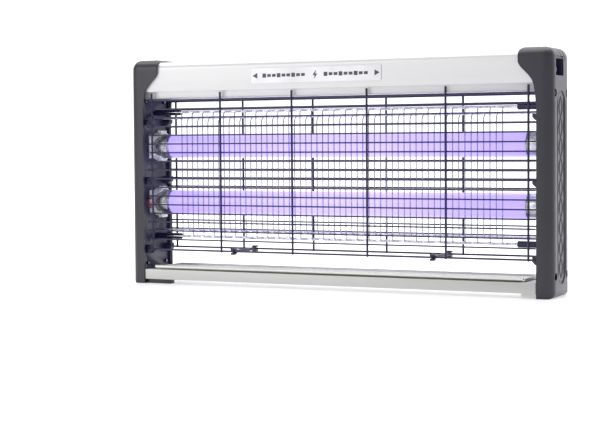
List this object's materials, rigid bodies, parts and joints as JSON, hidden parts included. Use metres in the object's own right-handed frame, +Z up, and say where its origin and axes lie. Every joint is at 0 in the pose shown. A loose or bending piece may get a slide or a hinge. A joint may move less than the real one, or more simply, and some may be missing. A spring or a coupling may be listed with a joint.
{
  "type": "electric bug zapper",
  "caption": "Wide wall or table electric insect killer with ultraviolet tubes behind wire electrode grids, hinged guards, aluminium housing, moulded end caps and slide-out tray.",
  "frame": {"origin": "centre of the base, on the surface the object stands on", "axes": "+X to the object's right along its length, the side with the power inlet; +Y to its back; +Z up"},
  "size_m": [0.472, 0.06, 0.241],
  "materials": {
    "housing_aluminium": "silver-white anodised extrusion, satin",
    "rail_aluminium": "mill-finish extrusion, fine lengthwise lines",
    "tray_aluminium": "rolled sheet, satin",
    "label_film": "printed polyester film, plain marks only",
    "cap_charcoal": "charcoal ABS, fine moulded texture",
    "black_plastic": "black flame-retardant moulding",
    "guard_wire": "black powder-coated wire",
    "grid_steel": "drawn stainless wire",
    "holder_white": "white polycarbonate",
    "lamp_glow": "lit ultraviolet tube, phosphor-coated glass",
    "lamp_metal": "pressed aluminium lamp base",
    "zinc_steel": "zinc-plated steel",
    "inlet_brass": "plated brass blades",
    "winding_tape": "yellow polyester tape",
    "circuit_board": "solder-masked board",
    "red_lead": "red PVC-insulated lead",
    "white_lead": "white PVC-insulated lead"
  },
  "bodies": {
    "frame": {"top_housing": "housing_aluminium", "inner_cover": "housing_aluminium", "bottom_rail": "rail_aluminium", "front_label": "label_film", "end_cap_left": "cap_charcoal", "end_cap_right": "cap_charcoal", "inner_plate_left": "black_plastic", "inner_plate_right": "black_plastic", "insulator_lower_left": "black_plastic", "insulator_lower_right": "black_plastic", "insulator_upper_left": "black_plastic", "insulator_upper_right": "black_plastic", "power_inlet": "black_plastic", "outer_grid": "grid_steel", "inner_grid": "grid_steel", "lamp_holder_upper_left": "holder_white", "lamp_holder_upper_right": "holder_white", "lamp_holder_lower_left": "holder_white", "lamp_holder_lower_right": "holder_white", "terminal_block": "holder_white", "cap_screw_left_lower_front": "zinc_steel", "cap_screw_left_lower_back": "zinc_steel", "cap_screw_left_upper_front": "zinc_steel", "cap_screw_left_upper_back": "zinc_steel", "cap_screw_right_lower_front": "zinc_steel", "cap_screw_right_lower_back": "zinc_steel", "cap_screw_right_upper_front": "zinc_steel", "cap_screw_right_upper_back": "zinc_steel", "lamp_ballast": "zinc_steel", "transformer_core": "zinc_steel", "inlet_pin_line": "inlet_brass", "inlet_pin_neutral": "inlet_brass", "inlet_pin_earth": "inlet_brass", "transformer_coil": "winding_tape", "capacitor_front": "winding_tape", "capacitor_back": "winding_tape", "multiplier_board": "circuit_board", "lamp_lead_lower_left": "red_lead", "lamp_lead_lower_right": "red_lead", "holder_lead_loop": "red_lead", "lamp_lead_upper_left": "white_lead", "lamp_lead_upper_right": "white_lead", "mains_lead": "white_lead"},
    "tray": {"collecting_tray": "tray_aluminium"},
    "front_guard": {"front_guard": "guard_wire"},
    "back_guard": {"back_guard": "guard_wire", "guard_tie_left": "black_plastic", "guard_tie_right": "black_plastic"},
    "lamp_upper": {"lamp_upper_glass": "lamp_glow", "lamp_upper_cap_left": "lamp_metal", "lamp_upper_cap_right": "lamp_metal"},
    "lamp_lower": {"lamp_lower_glass": "lamp_glow", "lamp_lower_cap_left": "lamp_metal", "lamp_lower_cap_right": "lamp_metal"}
  },
  "joints": [
    {"name": "tray_slide", "type": "slide", "parent": "frame", "child": "tray", "axis": [0, -1, 0], "range_m": [0, 0.06]},
    {"name": "front_guard_hinge", "type": "hinge", "parent": "frame", "child": "front_guard", "pos_m": [0, -0.0248, 0.2052], "axis": [-1, 0, 0], "range_deg": [0, 60]},
    {"name": "back_guard_hinge", "type": "hinge", "parent": "frame", "child": "back_guard", "pos_m": [0, 0.0248, 0.2052], "axis": [1, 0, 0], "range_deg": [0, 60]},
    {"name": "lamp_upper_twist", "type": "hinge", "parent": "frame", "child": "lamp_upper", "pos_m": [0, 0.0045, 0.1482], "axis": [1, 0, 0], "range_deg": [0, 90]},
    {"name": "lamp_lower_twist", "type": "hinge", "parent": "frame", "child": "lamp_lower", "pos_m": [0, 0.0045, 0.0874], "axis": [1, 0, 0], "range_deg": [0, 90]}
  ]
}
